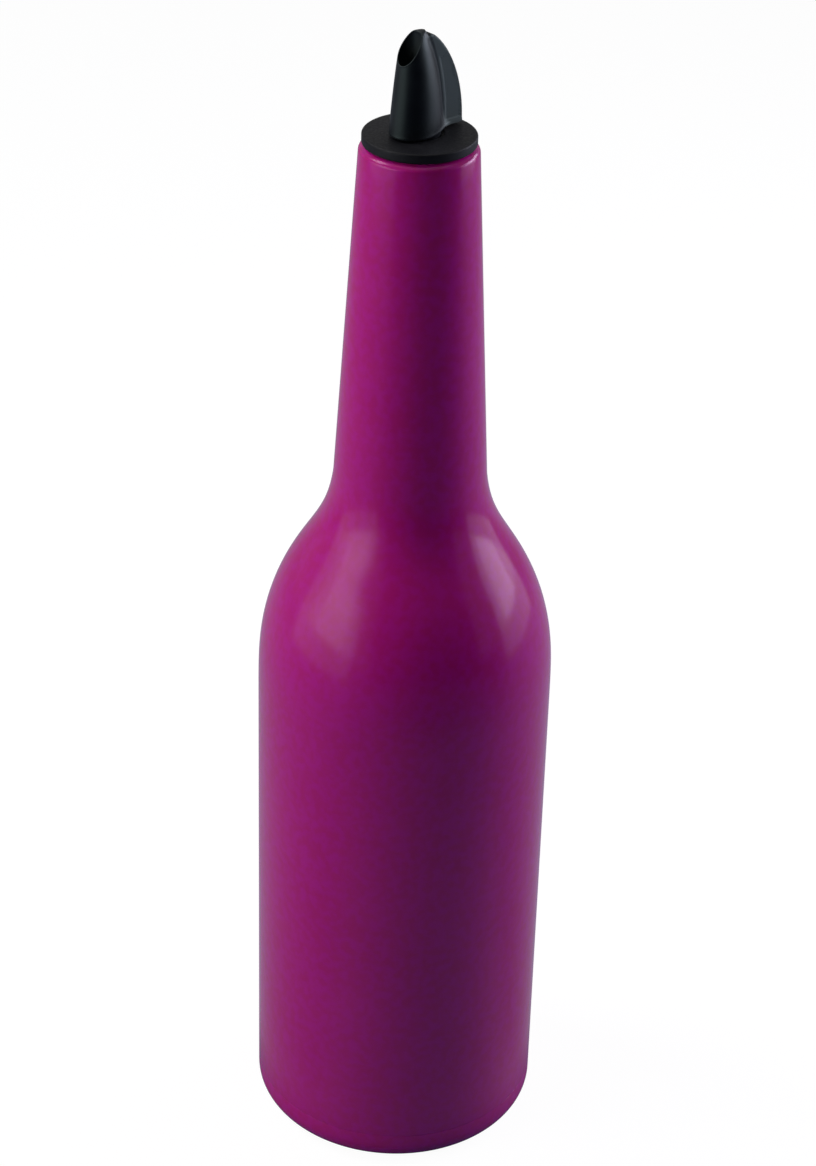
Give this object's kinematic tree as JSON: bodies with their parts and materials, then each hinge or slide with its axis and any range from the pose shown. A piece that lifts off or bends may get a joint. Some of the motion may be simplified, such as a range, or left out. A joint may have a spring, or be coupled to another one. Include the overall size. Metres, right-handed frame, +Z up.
{
  "type": "flair bottle",
  "caption": "Tall round bottle with a domed shoulder and a long tapered neck, closed by a ribbed push-in pourer with a flat collar, a beak-shaped spout and a finger fin.",
  "frame": {"origin": "centre of the foot ring, on the surface that the bottle stands on", "axes": "+Z up along the bottle's axis; -Y towards the viewer of the picture; the spout's fin points 39 degrees round from +X towards +Y"},
  "size_m": [0.0774, 0.0774, 0.3149],
  "materials": {
    "bottle_plastic": "semi-gloss moulded magenta, slightly scuffed",
    "stopper_rubber": "matt black",
    "collar_plastic": "matt dark grey",
    "spout_plastic": "satin blue-black",
    "tube_plastic": "matt dark grey"
  },
  "bodies": {
    "bottle": {"bottle_shell": "bottle_plastic", "base_cap": "bottle_plastic"},
    "stopper_body": {"stopper": "stopper_rubber", "collar": "collar_plastic"},
    "spout_body": {"spout": "spout_plastic", "vent_tube": "tube_plastic"}
  },
  "joints": [
    {"name": "stopper_pull", "type": "slide", "parent": "bottle", "child": "stopper_body", "axis": [0, 0, 1], "range_m": [0, 0.048]},
    {"name": "spout_turn", "type": "hinge", "parent": "stopper_body", "child": "spout_body", "pos_m": [0, 0, 0.2866], "axis": [0, 0, 1], "continuous": true}
  ]
}
